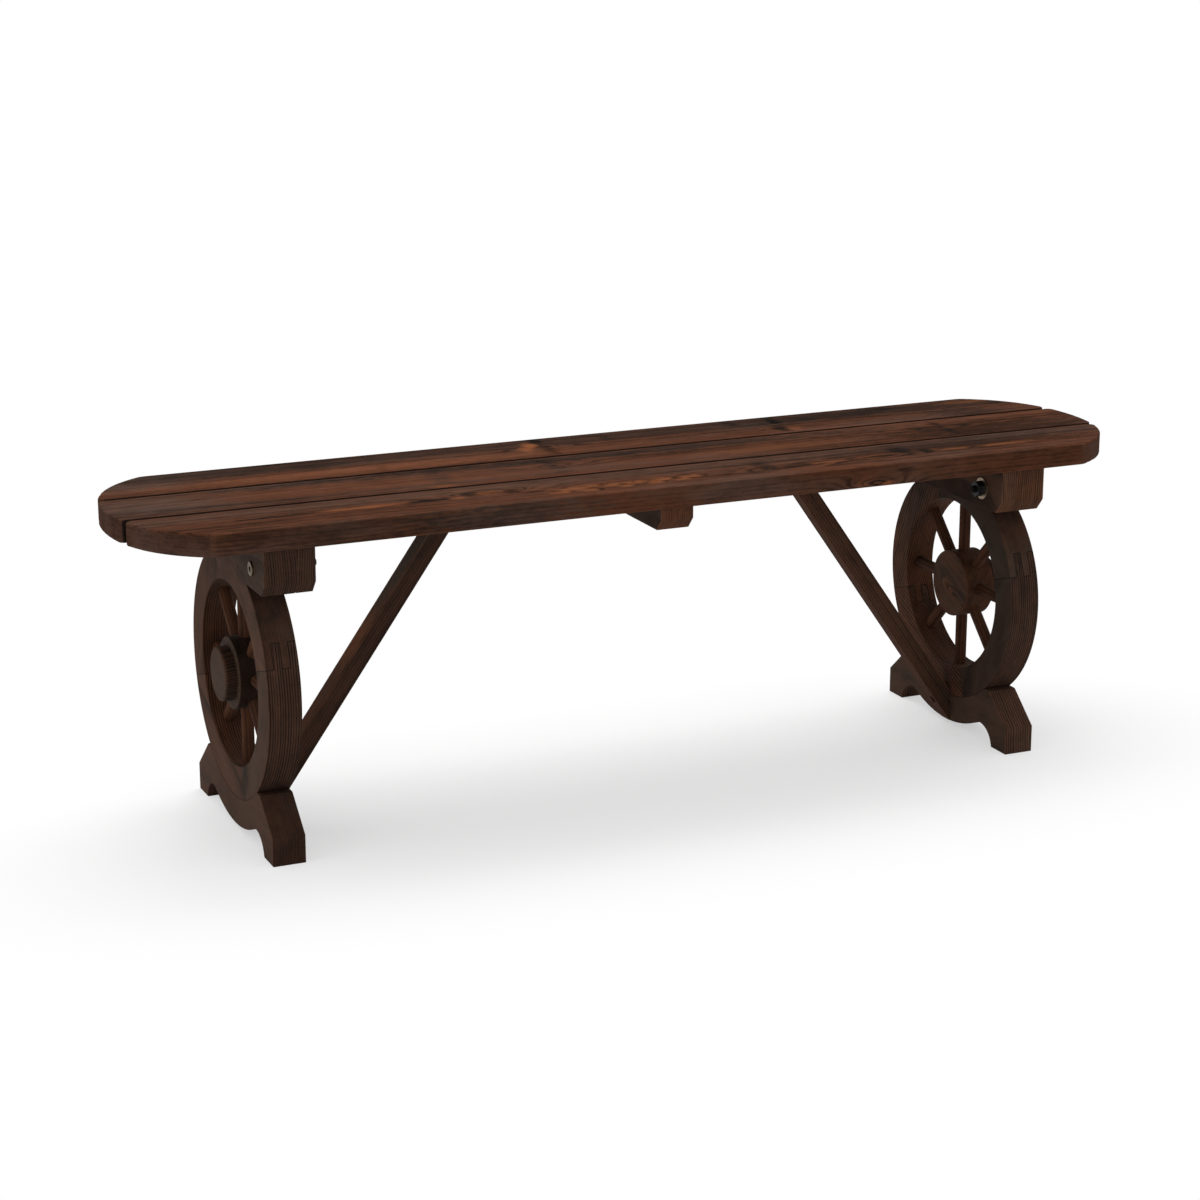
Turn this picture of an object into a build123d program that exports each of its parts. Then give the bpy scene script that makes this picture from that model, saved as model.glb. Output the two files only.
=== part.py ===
from build123d import *
import math
import os

# Garden bench on two wheel-shaped end frames, in millimetres.
# +X runs along the seat, +Y to the back and +Z up. The origin is on the floor, under the seat's middle.

# Seat boards
seat_length = 1397.0
slat_width = 106.0
slat_gap = 6.0
slat_thickness = 29.0
seat_end_bow = 89.0            # length over which each seat end curves
seat_crown_radius = 270.0      # plan curve of the middle board's ends
seat_corner_round = 24.0       # corners at the long edges, in plan
slat_corner_round = 9.0        # corners beside the gaps, in plan
slat_edge_round = 2.0

# Wheel
frame_inset = 150.25           # seat end to the outer face of the end frame
frame_thickness = 43.0         # ring, hub, rail and foot share it
ring_outer_radius = 162.5
ring_width = 42.5              # rim to rim
joint_angle = 22.25            # middle of the first finger joint, from the front upwards
joint_spread = 11.5            # angle covered by the fingers
finger_count = 4
spoke_count = 8
spoke_diameter = 16.0
spoke_tenon = 14.0             # depth of a spoke in the ring and in the hub
hub_radius = 46.5
cap_radius = 35.0
cap_height = 15.5
cap_round = 3.5
spigot_radius = 12.0
spigot_length = 14.0

# Foot board
leg_spread = 320.0             # over both legs, front to back
leg_width = 36.0
leg_end_height = 36.5
shoulder_height = 78.0
shoulder_slope = 41.0          # degrees from the floor
shoulder_round = 4.0
belly_clearance = 6.0          # floor to the lowest point between the legs
belly_depth = 37.5             # wood under the wheel
arch_radius = 32.0
arch_drop = 5.0                # arch centre below the floor

# Top rail and seat cleat
rail_web = 34.0                # wood between wheel and seat
rail_height = 59.0
rail_end_inset = 3.0           # rail, cleat and batten stop short of the seat's edge
rail_chamfer_run = 13.5
rail_chamfer_rise = 16.0
cleat_thickness = 22.5

# Centre batten
batten_width = 46.0
batten_height = 30.5
batten_chamfer_run = 13.5
batten_chamfer_rise = 15.0

# Diagonal brace
brace_width = 25.5
brace_depth = 25.5
brace_angle = 54.7             # degrees from the floor
brace_screw_edge = 13.5        # screw axis to the brace's upper edge, along the cut

# Connector bolt, washer and nut
bolt_diameter = 10.0
bolt_drop = 32.5               # seat underside to the bolt's axis
bolt_head_diameter = 18.0
bolt_head_height = 2.5
bolt_head_round = 0.8
bolt_end_length = 4.5          # thread past the nut
bolt_end_chamfer = 1.0
socket_across_flats = 6.0
socket_depth = 5.0
washer_diameter = 29.5
washer_thickness = 2.0
nut_across_flats = 19.0
nut_height = 9.5

# Wood screws and dowels
screw_diameter = 5.0
screw_head_diameter = 9.5
screw_head_height = 3.0
screw_tip_length = 5.0
recess_length = 5.0
recess_width = 1.2
recess_depth = 1.8
counterbore_gap = 0.5          # beside a sunk screw head
slat_cover = 10.5              # wood left above a screw's tip
foot_screw_bite = 20.0
cleat_screw_grip = 28.0        # wood between a screw's head and the next piece
batten_screw_grip = 22.0
brace_screw_grip = 12.0
screw_spread = 60.0            # between the two screws of a board
dowel_diameter = 8.0
dowel_length = 36.0
dowel_spread = 60.0

# Fits and eased edges
fit_gap = 0.1                  # per side, between round pieces and their seats
hole_spare = 1.0               # depth left free past a dowel's end or a screw's tip
edge_round = 1.2

# Places that follow from the sizes
sides = {"left": -1, "right": 1}
felloe_names = ("top", "rear", "bottom", "front")
slat_pitch = slat_width + slat_gap
slat_centres = {"front": -slat_pitch, "middle": 0.0, "rear": slat_pitch}
seat_width = 2 * slat_pitch + slat_width
seat_corner = seat_length / 2 - seat_end_bow
crown_turn = math.asin(slat_pitch / 2 / seat_crown_radius)
crown_end = seat_length / 2 - seat_crown_radius * (1 - math.cos(crown_turn))
ring_inner_radius = ring_outer_radius - ring_width
wheel_height = belly_clearance + belly_depth + ring_outer_radius
seat_underside = wheel_height + ring_outer_radius + rail_web
rail_length = seat_width - 2 * rail_end_inset
frame_outer = seat_length / 2 - frame_inset
frame_inner = frame_outer - frame_thickness
frame_middle = frame_outer - frame_thickness / 2
cleat_inner = frame_inner - cleat_thickness
cleat_middle = frame_inner - cleat_thickness / 2
bolt_height = seat_underside - bolt_drop
bolt_places = (-slat_pitch, slat_pitch)
dowel_places = (-dowel_spread / 2, dowel_spread / 2)
screw_places = [y + s * screw_spread / 2 for y in slat_centres.values() for s in (-1, 1)]
slat_bite = slat_thickness - slat_cover
brace_rise = math.tan(math.radians(brace_angle))
brace_foot_cut = brace_depth / math.cos(math.radians(brace_angle))
brace_seat_cut = brace_depth / math.sin(math.radians(brace_angle))
brace_top = frame_inner - (seat_underside - belly_clearance) / brace_rise
upward = (Align.CENTER, Align.CENTER, Align.MIN)
downward = (Align.CENTER, Align.CENTER, Align.MAX)


# A sketch drawn in Y and Z, made solid between two places along X
def slab(sketch, start, stop):
    low, high = sorted((start, stop))
    return extrude(Plane.YZ.offset(low) * sketch, amount=high - low)


# A round bar from a point, along a direction
def bar(radius, length, start, direction):
    return Plane(start, z_dir=direction) * Cylinder(radius, length, align=upward)


# The outlines of the two faces square to an axis, eased
def ease(solid, axis, radius):
    faces = solid.faces().filter_by(axis).sort_by(axis)
    return fillet(faces[0].edges() + faces[-1].edges(), radius)


def cut(solid, tools):
    for tool in tools:
        solid = solid - tool
    return solid


# Arc over an outer board's end: it runs on from the middle board's arc, to a corner at the long edge
def shoulder_arc(way_x, way_y):
    join = (way_x * crown_end, way_y * slat_pitch / 2)
    corner = (way_x * seat_corner, way_y * seat_width / 2)
    heading = (-way_x * math.sin(crown_turn), way_y * math.cos(crown_turn))
    return TangentArc(join, corner, tangent=heading)


def seat_end(way):
    front = shoulder_arc(way, -1)
    rear = shoulder_arc(way, 1)
    crown = ThreePointArc(front @ 0, (way * seat_length / 2, 0), rear @ 0)
    return [front, crown, rear]


# The seat's plan, divided by the gaps into the front, middle and rear boards
def slat_plans():
    right = seat_end(1)
    left = seat_end(-1)
    long_edges = [Line(left[0] @ 1, right[0] @ 1), Line(left[-1] @ 1, right[-1] @ 1)]
    plan = make_face(left + right + long_edges)
    for y in (-slat_pitch / 2, slat_pitch / 2):
        plan -= Pos(0, y) * Rectangle(seat_length, slat_gap)
    return plan.faces().sort_by(Axis.Y)


def beside_gap(corner):
    return abs(corner.Y) < (slat_pitch + slat_width) / 2


# Board on its plan, with its corners rounded and all edges eased
def slat(plan):
    inner = [corner for corner in plan.vertices() if beside_gap(corner)]
    outline = plan.fillet_2d(slat_corner_round, inner)
    outer = [corner for corner in outline.vertices() if abs(corner.Y) > seat_width / 2 - fit_gap]
    if outer:
        outline = outline.fillet_2d(seat_corner_round, outer)
    board = extrude(Pos(0, 0, seat_underside) * outline, amount=slat_thickness)
    return ease(board, Axis.Z, slat_edge_round)


# Cross piece under the seat, between two places along X, with its lower end corners cut off
def cross_piece(start, stop, height, chamfer_run, chamfer_rise):
    half = rail_length / 2
    low = seat_underside - height
    profile = Polygon(
        (-half, seat_underside),
        (-half, low + chamfer_rise),
        (-half + chamfer_run, low),
        (half - chamfer_run, low),
        (half, low + chamfer_rise),
        (half, seat_underside),
    )
    return ease(slab(profile, start, stop), Axis.X, edge_round)


def rail_block(start, stop):
    return cross_piece(start, stop, rail_height, rail_chamfer_run, rail_chamfer_rise)


# Round outline about the wheel's axis
def wheel_disc(radius):
    return Pos(0, wheel_height) * Circle(radius)


# The space of the wheel in a piece that it sits in
def wheel_seat(side):
    return slab(wheel_disc(ring_outer_radius + fit_gap), side * frame_inner, side * frame_outer)


# Direction at an angle about the wheel's axis, measured from the front upwards
def wheel_direction(angle):
    return Vector(0, -math.cos(math.radians(angle)), math.sin(math.radians(angle)))


# Round bars along every spoke, between two radii
def spoke_bars(side, radius, near, far):
    bars = []
    for index in range(spoke_count):
        direction = wheel_direction(index * 360 / spoke_count)
        start = Vector(side * frame_middle, 0, wheel_height) + direction * near
        bars.append(bar(radius, far - near, start, direction))
    return bars


def spoke_holes(side, near, far):
    return spoke_bars(side, spoke_diameter / 2 + fit_gap, near, far)


# Upright bars where the wheel meets the rail above it (way 1) or the foot below it (way -1)
def dowel_bars(side, way, radius, length):
    rim = wheel_height + way * math.sqrt(ring_outer_radius ** 2 - (dowel_spread / 2) ** 2)
    bottom = rim - length / 2
    return [bar(radius, length, (side * frame_middle, y, bottom), (0, 0, 1)) for y in dowel_places]


def dowel_holes(side, way):
    return dowel_bars(side, way, dowel_diameter / 2 + fit_gap, dowel_length + 2 * hole_spare)


# A quarter of the wheel in layers, which start by turns at either end of the finger joint
def felloe_block(side, quarter):
    start = min(side * frame_inner, side * frame_outer)
    layer = frame_thickness / finger_count
    reach = 2 * ring_outer_radius
    layers = []
    for index in range(finger_count):
        lean = joint_spread / 2 if index % 2 else -joint_spread / 2
        turn = 90 - (joint_angle + lean + 90 * quarter)
        square = Rectangle(reach, reach, align=(Align.MIN, Align.MIN))
        square = Pos(0, wheel_height) * Rot(0, 0, turn) * square
        layers.append(slab(square, start + index * layer, start + (index + 1) * layer))
    return layers[0].fuse(*layers[1:])


def felloe(side, quarter):
    ring = wheel_disc(ring_outer_radius) - wheel_disc(ring_inner_radius)
    ring = ease(slab(ring, side * frame_inner, side * frame_outer), Axis.X, edge_round)
    piece = ring & felloe_block(side, quarter)
    piece = cut(piece, spoke_holes(side, hub_radius, ring_inner_radius + spoke_tenon))
    return cut(piece, dowel_holes(side, 1) + dowel_holes(side, -1))


# Disc with a bore on its outer side for the cap's spigot
def hub(side):
    disc = slab(wheel_disc(hub_radius), side * frame_inner, side * frame_outer)
    disc = ease(disc, Axis.X, edge_round)
    disc = cut(disc, spoke_holes(side, hub_radius - spoke_tenon, ring_inner_radius))
    seat = (side * frame_outer, 0, wheel_height)
    return disc - bar(spigot_radius + fit_gap, spigot_length, seat, (-side, 0, 0))


# Turned cap with a rounded rim
def hub_cap(side):
    cap = Cylinder(cap_radius, cap_height, align=upward)
    cap = fillet(cap.edges().sort_by(Axis.Z)[-1], cap_round)
    cap += Cylinder(spigot_radius, spigot_length, align=downward)
    return Plane((side * frame_outer, 0, wheel_height), z_dir=(side, 0, 0)) * cap


# Board with two legs, sloped shoulders, and a belly concentric with the wheel between two arches
def foot(side):
    half = leg_spread / 2
    shoulder_run = (shoulder_height - leg_end_height) / math.tan(math.radians(shoulder_slope))
    outline = Polygon(
        (-half, 0),
        (half, 0),
        (half, leg_end_height),
        (half - shoulder_run, shoulder_height),
        (shoulder_run - half, shoulder_height),
        (-half, leg_end_height),
    )
    outline = fillet(outline.vertices().group_by(Axis.Y)[-1], shoulder_round)
    board = ease(slab(outline, side * frame_inner, side * frame_outer), Axis.X, edge_round)
    arch_place = half - leg_width - math.sqrt(arch_radius ** 2 - arch_drop ** 2)
    hollow = Rectangle(2 * arch_place, 2 * (arch_radius - arch_drop))
    for way in (-1, 1):
        hollow += Pos(way * arch_place, -arch_drop) * Circle(arch_radius)
    hollow -= wheel_disc(ring_outer_radius + belly_depth)
    board -= slab(hollow, side * frame_inner, side * frame_outer)
    board -= wheel_seat(side)
    return cut(board, dowel_holes(side, -1) + screw_holes([foot_screw(side)]))


def bolt_holes(side):
    radius = bolt_diameter / 2 + fit_gap
    length = frame_thickness + cleat_thickness
    return [bar(radius, length, (side * frame_outer, y, bolt_height), (-side, 0, 0)) for y in bolt_places]


def top_rail(side):
    rail = rail_block(side * frame_inner, side * frame_outer) - wheel_seat(side)
    return cut(rail, bolt_holes(side) + dowel_holes(side, 1))


def seat_cleat(side):
    cleat = rail_block(side * cleat_inner, side * frame_inner)
    return cut(cleat, bolt_holes(side) + screw_holes(cleat_screws(side)))


def centre_batten():
    batten = cross_piece(
        -batten_width / 2, batten_width / 2, batten_height, batten_chamfer_run, batten_chamfer_rise
    )
    return cut(batten, screw_holes(batten_screws()))


# Straight square bar, cut upright at the frame and level at the seat
def brace(side):
    outline = Polygon(
        (side * frame_inner, belly_clearance),
        (side * frame_inner, belly_clearance + brace_foot_cut),
        (side * (brace_top + brace_seat_cut), seat_underside),
        (side * brace_top, seat_underside),
    )
    stick = extrude(Plane.XZ * outline, amount=brace_width / 2, both=True)
    stick = fillet(stick.edges().sort_by(SortBy.LENGTH)[-4:], edge_round)
    return cut(stick, screw_holes([foot_screw(side), seat_screw(side)]))


# A screw is the centre of its head, the way it points, and its length
def upright_screws(x, grip):
    return [((x, y, seat_underside - grip), (0, 0, 1), grip + slat_bite) for y in screw_places]


def cleat_screws(side):
    return upright_screws(side * cleat_middle, cleat_screw_grip)


def batten_screws():
    return upright_screws(0, batten_screw_grip)


def foot_screw(side):
    height = belly_clearance + brace_foot_cut - brace_screw_edge
    start = (side * (frame_inner - brace_screw_grip), 0, height)
    return start, (side, 0, 0), brace_screw_grip + foot_screw_bite


def seat_screw(side):
    place = brace_top + brace_seat_cut - brace_screw_edge
    start = (side * place, 0, seat_underside - brace_screw_grip)
    return start, (0, 0, 1), brace_screw_grip + slat_bite


# Countersunk screw with a cross recess and a pointed tip
def wood_screw(start, direction, length):
    shank = length - screw_tip_length
    screw = Cylinder(screw_diameter / 2, shank, align=upward)
    screw += Cone(screw_head_diameter / 2, screw_diameter / 2, screw_head_height, align=upward)
    screw += Pos(0, 0, shank) * Cone(screw_diameter / 2, 0, screw_tip_length, align=upward)
    screw -= Box(recess_length, recess_width, recess_depth, align=upward)
    screw -= Box(recess_width, recess_length, recess_depth, align=upward)
    return Plane(start, z_dir=direction) * screw


# Hole for a screw's shank and head, with the way in behind the head
def screw_holes(screws):
    holes = []
    for start, direction, length in screws:
        head = screw_head_diameter / 2 + fit_gap
        shank = screw_diameter / 2 + fit_gap
        hole = Cylinder(shank, length + hole_spare, align=upward)
        hole += Cone(head, shank, screw_head_height, align=upward)
        hole += Cylinder(screw_head_diameter / 2 + counterbore_gap, rail_height, align=downward)
        holes.append(Plane(start, z_dir=direction) * hole)
    return holes


# Place of a bolt's pieces, a distance inwards from the frame's outer face
def bolt_plane(side, y, depth):
    return Plane((side * (frame_outer - depth), y, bolt_height), z_dir=(-side, 0, 0))


# Flat-headed bolt with a hexagon socket
def connector_bolt(side, y):
    grip = frame_thickness + cleat_thickness
    length = grip + washer_thickness + nut_height + bolt_end_length
    head = Cylinder(bolt_head_diameter / 2, bolt_head_height, align=downward)
    head = fillet(head.edges().sort_by(Axis.Z)[0], bolt_head_round)
    shank = Cylinder(bolt_diameter / 2, length, align=upward)
    shank = chamfer(shank.edges().sort_by(Axis.Z)[-1], bolt_end_chamfer)
    socket = extrude(RegularPolygon(socket_across_flats / 2, 6, major_radius=False), amount=socket_depth)
    return bolt_plane(side, y, 0) * (head + shank - Pos(0, 0, -bolt_head_height) * socket)


def bolt_washer(side, y):
    disc = Circle(washer_diameter / 2) - Circle(bolt_diameter / 2 + fit_gap)
    return bolt_plane(side, y, frame_thickness + cleat_thickness) * extrude(disc, amount=washer_thickness)


def bolt_nut(side, y):
    hexagon = RegularPolygon(nut_across_flats / 2, 6, major_radius=False)
    hexagon -= Circle(bolt_diameter / 2 + fit_gap)
    depth = frame_thickness + cleat_thickness + washer_thickness
    return bolt_plane(side, y, depth) * extrude(hexagon, amount=nut_height)


os.makedirs("parts", exist_ok=True)


def write(name, shape):
    export_step(shape, f"parts/{name}.step")


def write_group(name, shapes):
    write(name, Compound(children=shapes))


# Seat
board_screws = batten_screws() + cleat_screws(-1) + cleat_screws(1)
for name, plan in zip(slat_centres, slat_plans()):
    screws = board_screws + [seat_screw(side) for side in sides.values()] if name == "middle" else board_screws
    write(f"{name}_slat", cut(slat(plan), screw_holes(screws)))
write("centre_batten", centre_batten())
write_group("batten_screws", [wood_screw(*screw) for screw in batten_screws()])

# End frames and braces
for name, side in sides.items():
    write(f"{name}_seat_cleat", seat_cleat(side))
    write(f"{name}_top_rail", top_rail(side))
    write(f"{name}_foot", foot(side))
    write(f"{name}_hub", hub(side))
    write(f"{name}_hub_cap", hub_cap(side))
    write(f"{name}_brace", brace(side))
    for quarter, place in enumerate(felloe_names):
        write(f"{name}_{place}_felloe", felloe(side, quarter))
    spokes = spoke_bars(side, spoke_diameter / 2, hub_radius - spoke_tenon, ring_inner_radius + spoke_tenon)
    for index, spoke in enumerate(spokes):
        write(f"{name}_spoke_{index + 1}", spoke)
    dowels = [dowel for way in (1, -1) for dowel in dowel_bars(side, way, dowel_diameter / 2, dowel_length)]
    write_group(f"{name}_frame_dowels", dowels)
    write_group(f"{name}_cleat_screws", [wood_screw(*screw) for screw in cleat_screws(side)])
    write_group(f"{name}_brace_screws", [wood_screw(*foot_screw(side)), wood_screw(*seat_screw(side))])
    write_group(f"{name}_connector_bolts", [connector_bolt(side, y) for y in bolt_places])
    write_group(f"{name}_bolt_washers", [bolt_washer(side, y) for y in bolt_places])
    write_group(f"{name}_bolt_nuts", [bolt_nut(side, y) for y in bolt_places])
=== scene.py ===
import bpy
import math
from mathutils import Matrix, Vector

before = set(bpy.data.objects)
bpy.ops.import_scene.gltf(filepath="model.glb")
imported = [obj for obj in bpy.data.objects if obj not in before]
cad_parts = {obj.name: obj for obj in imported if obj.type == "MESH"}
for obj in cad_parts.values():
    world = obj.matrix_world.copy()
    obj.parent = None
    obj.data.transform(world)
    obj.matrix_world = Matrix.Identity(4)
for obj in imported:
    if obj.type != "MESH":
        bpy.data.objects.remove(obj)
for spareName in ("Cube", "Light", "Camera"):
    spareItem = bpy.data.objects.get(spareName)
    if spareItem:
        bpy.data.objects.remove(spareItem)
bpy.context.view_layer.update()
print("frame loaded:", len(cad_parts), "nodes")

# the photograph's viewpoint: place in metres, turn (to the right below 0) and tilt down in degrees
viewPoint = {
    "place": (-1.4987, -3.2815, 1.2535),
    "turn": -24.033,
    "tilt": 15.709,
    "lens": 84.04,
    "sensor": 36.0,
    "clipEnd": 60.0,
}


def makeCamera(view):
    lens = bpy.data.cameras.new("viewCamera")
    lens.lens = view["lens"]
    lens.sensor_width = view["sensor"]
    lens.clip_end = view["clipEnd"]
    camera = bpy.data.objects.new("viewCamera", lens)
    camera.location = view["place"]
    camera.rotation_euler = (math.radians(90 - view["tilt"]), 0, math.radians(view["turn"]))
    bpy.context.scene.collection.objects.link(camera)
    bpy.context.scene.camera = camera


makeCamera(viewPoint)
bpy.context.scene.view_settings.view_transform = "Standard"
print("camera set")

# studio: a white floor under soft lamps; strengths in watts, places and sizes in metres
studio = {
    "ambient": 0.74,
    "floorColor": (0.97, 0.97, 0.97),
    "floorHalf": 9.0,
    "floorStretch": (0.45, 1.0, 1.0),
    "floorFade": (0.17, 0.62),
    "floorWhite": 0.48,  # share of plain white in the floor as the camera sees it, under the seat
    "lamps": [
        {"name": "topSoftbox", "place": (0.15, 0.75, 2.3), "aim": (0, 0, 0.2), "size": (2.2, 1.1), "power": 30},
        {"name": "leftSoftbox", "place": (-2.6, -0.6, 1.2), "aim": (0, 0, 0.25), "size": (1.4, 1.4), "power": 6},
    ],
}


# nodes are added by type, and each named input is either a socket to link or a plain value
def addNode(tree, kind, inputs=None, **settings):
    node = tree.nodes.new(kind)
    for name, value in settings.items():
        setattr(node, name, value)
    for key, value in (inputs or {}).items():
        if isinstance(value, bpy.types.NodeSocket):
            tree.links.new(value, node.inputs[key])
        else:
            node.inputs[key].default_value = value
    return node


def mathNode(tree, operation, first, second=None, third=None, clamp=False):
    inputs = {index: value for index, value in enumerate((first, second, third)) if value is not None}
    return addNode(tree, "ShaderNodeMath", inputs, operation=operation, use_clamp=clamp).outputs[0]


def vectorNode(tree, operation, first, second=None):
    inputs = {index: value for index, value in enumerate((first, second)) if value is not None}
    node = addNode(tree, "ShaderNodeVectorMath", inputs, operation=operation)
    return node.outputs["Value"] if operation in ("LENGTH", "DOT_PRODUCT") else node.outputs["Vector"]


# smooth step of a value from 0 at low to 1 at high, or the other way round where low is the larger
def easeNode(tree, value, low, high, start=0.0, stop=1.0):
    inputs = {"Value": value, "From Min": low, "From Max": high, "To Min": start, "To Max": stop}
    return addNode(tree, "ShaderNodeMapRange", inputs, interpolation_type="SMOOTHSTEP").outputs["Result"]


def mixColor(tree, factor, first, second):
    inputs = {0: factor, 6: first, 7: second}  # the node's colour sockets follow those for numbers and vectors
    return addNode(tree, "ShaderNodeMix", inputs, data_type="RGBA").outputs[2]


# 1 for what the camera sees, straight, mirrored or through something clear
def seenMask(tree):
    path = addNode(tree, "ShaderNodeLightPath")
    seen = mathNode(tree, "MAXIMUM", path.outputs["Is Camera Ray"], path.outputs["Is Glossy Ray"])
    return mathNode(tree, "MAXIMUM", seen, path.outputs["Is Transmission Ray"])


def makeStudio(setup):
    scene = bpy.context.scene
    world = bpy.data.worlds.new("studioWorld")
    world.use_nodes = True
    scene.world = world
    tree = world.node_tree
    tree.nodes.clear()
    inputs = {"Value": seenMask(tree), "To Min": setup["ambient"], "To Max": 1.0}
    strength = addNode(tree, "ShaderNodeMapRange", inputs)
    sky = addNode(tree, "ShaderNodeBackground", {"Color": (1, 1, 1, 1), "Strength": strength.outputs["Result"]})
    out = addNode(tree, "ShaderNodeOutputWorld")
    tree.links.new(sky.outputs[0], out.inputs["Surface"])

    half = setup["floorHalf"]
    sheet = bpy.data.meshes.new("studioFloor")
    sheet.from_pydata([(-half, -half, 0), (half, -half, 0), (half, half, 0), (-half, half, 0)], [], [(0, 1, 2, 3)])
    floor = bpy.data.objects.new("studioFloor", sheet)
    scene.collection.objects.link(floor)
    paint = bpy.data.materials.new("floorPaint")
    paint.use_nodes = True
    tree = paint.node_tree
    tree.nodes.clear()
    place = addNode(tree, "ShaderNodeTexCoord").outputs["Object"]
    away = vectorNode(tree, "LENGTH", vectorNode(tree, "MULTIPLY", place, setup["floorStretch"]))
    white = easeNode(tree, away, *setup["floorFade"], setup["floorWhite"], 1.0)
    matt = addNode(tree, "ShaderNodeBsdfDiffuse", {"Color": (*setup["floorColor"], 1)})
    glow = addNode(tree, "ShaderNodeEmission", {"Color": (1, 1, 1, 1), "Strength": 1.0})
    mix = addNode(tree, "ShaderNodeMixShader", {0: mathNode(tree, "MULTIPLY", white, seenMask(tree))})
    tree.links.new(matt.outputs[0], mix.inputs[1])
    tree.links.new(glow.outputs[0], mix.inputs[2])
    out = addNode(tree, "ShaderNodeOutputMaterial")
    tree.links.new(mix.outputs[0], out.inputs["Surface"])
    sheet.materials.append(paint)

    for lamp in setup["lamps"]:
        light = bpy.data.lights.new(lamp["name"], "AREA")
        light.shape = "RECTANGLE"
        light.size, light.size_y = lamp["size"]
        light.energy = lamp["power"]
        holder = bpy.data.objects.new(lamp["name"], light)
        holder.location = lamp["place"]
        aim = Vector(lamp["aim"]) - Vector(lamp["place"])
        holder.rotation_euler = aim.to_track_quat("-Z", "Y").to_euler()
        scene.collection.objects.link(holder)


makeStudio(studio)
print("studio lit")


def newGroup(name, inputs, outputs):
    group = bpy.data.node_groups.new(name, "ShaderNodeTree")
    for label, kind, value in inputs:
        socket = group.interface.new_socket(label, in_out="INPUT", socket_type=kind)
        if value is not None:
            socket.default_value = value
    for label, kind in outputs:
        group.interface.new_socket(label, in_out="OUTPUT", socket_type=kind)
    return group, group.nodes.new("NodeGroupInput").outputs, group.nodes.new("NodeGroupOutput").inputs


floatKind = "NodeSocketFloat"
vectorKind = "NodeSocketVector"
colorKind = "NodeSocketColor"

# layers of noise: stretch along the grain, across the face and into the board; shift, detail and roughness
grainLayers = {
    "sway": ((2.0, 6.0, 6.0), 0.0, 1.0, 0.5),
    "ripple": ((12.0, 45.0, 45.0), 3.1, 2.0, 0.5),
    "streak": ((1.8, 0.42, 36.0), 11.0, 5.0, 0.6),
    "ember": ((6.0, 0.8, 30.0), 23.0, 4.0, 0.62),
    "patch": ((1.6, 14.0, 14.0), 17.0, 3.0, 0.55),
    "mottle": ((22.0, 60.0, 60.0), 37.0, 4.0, 0.62),
    "smoke": ((3.2, 15.0, 15.0), 53.0, 3.0, 0.55),
    "sawn": ((26.0, 26.0, 520.0), 59.0, 2.0, 0.5),
    "fibre": ((60.0, 900.0, 900.0), 29.0, 2.0, 0.6),
    "pore": ((70.0, 280.0, 280.0), 31.0, 3.0, 0.6),
    "fray": ((42.0, 210.0, 210.0), 41.0, 3.0, 0.65),
    "wearAndHighlight": ((30.0, 30.0, 30.0), 47.0, 3.0, 0.6),
    "blotch": ((260.0, 260.0, 260.0), 3.0, 3.0, 0.6),
    "scratch": ((500.0, 4200.0, 900.0), 7.0, 2.0, 0.5),
}


# one layer of noise at a place, centred on 0
def grainNoise(tree, place, seed, layer):
    stretch, shift, detail, roughness = grainLayers[layer]
    inputs = {"Vector": vectorNode(tree, "MULTIPLY", place, stretch), "W": mathNode(tree, "ADD", seed, shift),
              "Scale": 1.0, "Detail": detail, "Roughness": roughness}
    noise = addNode(tree, "ShaderNodeTexNoise", inputs, noise_dimensions="4D")
    return mathNode(tree, "SUBTRACT", noise.outputs["Fac"], 0.5)


# a knot is longer along the grain than across it, and its halo longer still
knotShape = {
    "core": (0.42, 1.0, 1.0),
    "coreEdge": (1.25, 0.75),
    "halo": (0.22, 1.0, 1.0),
    "haloFall": -3.0,
    "haloBase": 2.718,
}


# a knot in the board: how far it lifts the growth rings around it, its halo and its core
def makeKnotGroup(shape):
    group, taken, given = newGroup(
        "knotFigure",
        [("Place", vectorKind, None), ("Centre", vectorKind, None), ("Size", floatKind, 0.008),
         ("Reach", floatKind, 6.0), ("Lift", floatKind, 0.02)],
        [("Lift", floatKind), ("Core", floatKind), ("Halo", floatKind)],
    )
    offset = vectorNode(group, "SUBTRACT", taken["Place"], taken["Centre"])
    core = vectorNode(group, "LENGTH", vectorNode(group, "MULTIPLY", offset, shape["core"]))
    distance = mathNode(group, "DIVIDE", core, taken["Size"])
    halo = vectorNode(group, "LENGTH", vectorNode(group, "MULTIPLY", offset, shape["halo"]))
    far = mathNode(group, "DIVIDE", halo, mathNode(group, "MULTIPLY", taken["Size"], taken["Reach"]))
    fall = mathNode(group, "MULTIPLY", mathNode(group, "MULTIPLY", far, far), shape["haloFall"])
    bell = mathNode(group, "POWER", shape["haloBase"], fall)
    group.links.new(mathNode(group, "MULTIPLY", bell, taken["Lift"]), given["Lift"])
    group.links.new(easeNode(group, distance, *shape["coreEdge"]), given["Core"])
    group.links.new(bell, given["Halo"])
    return group
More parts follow.
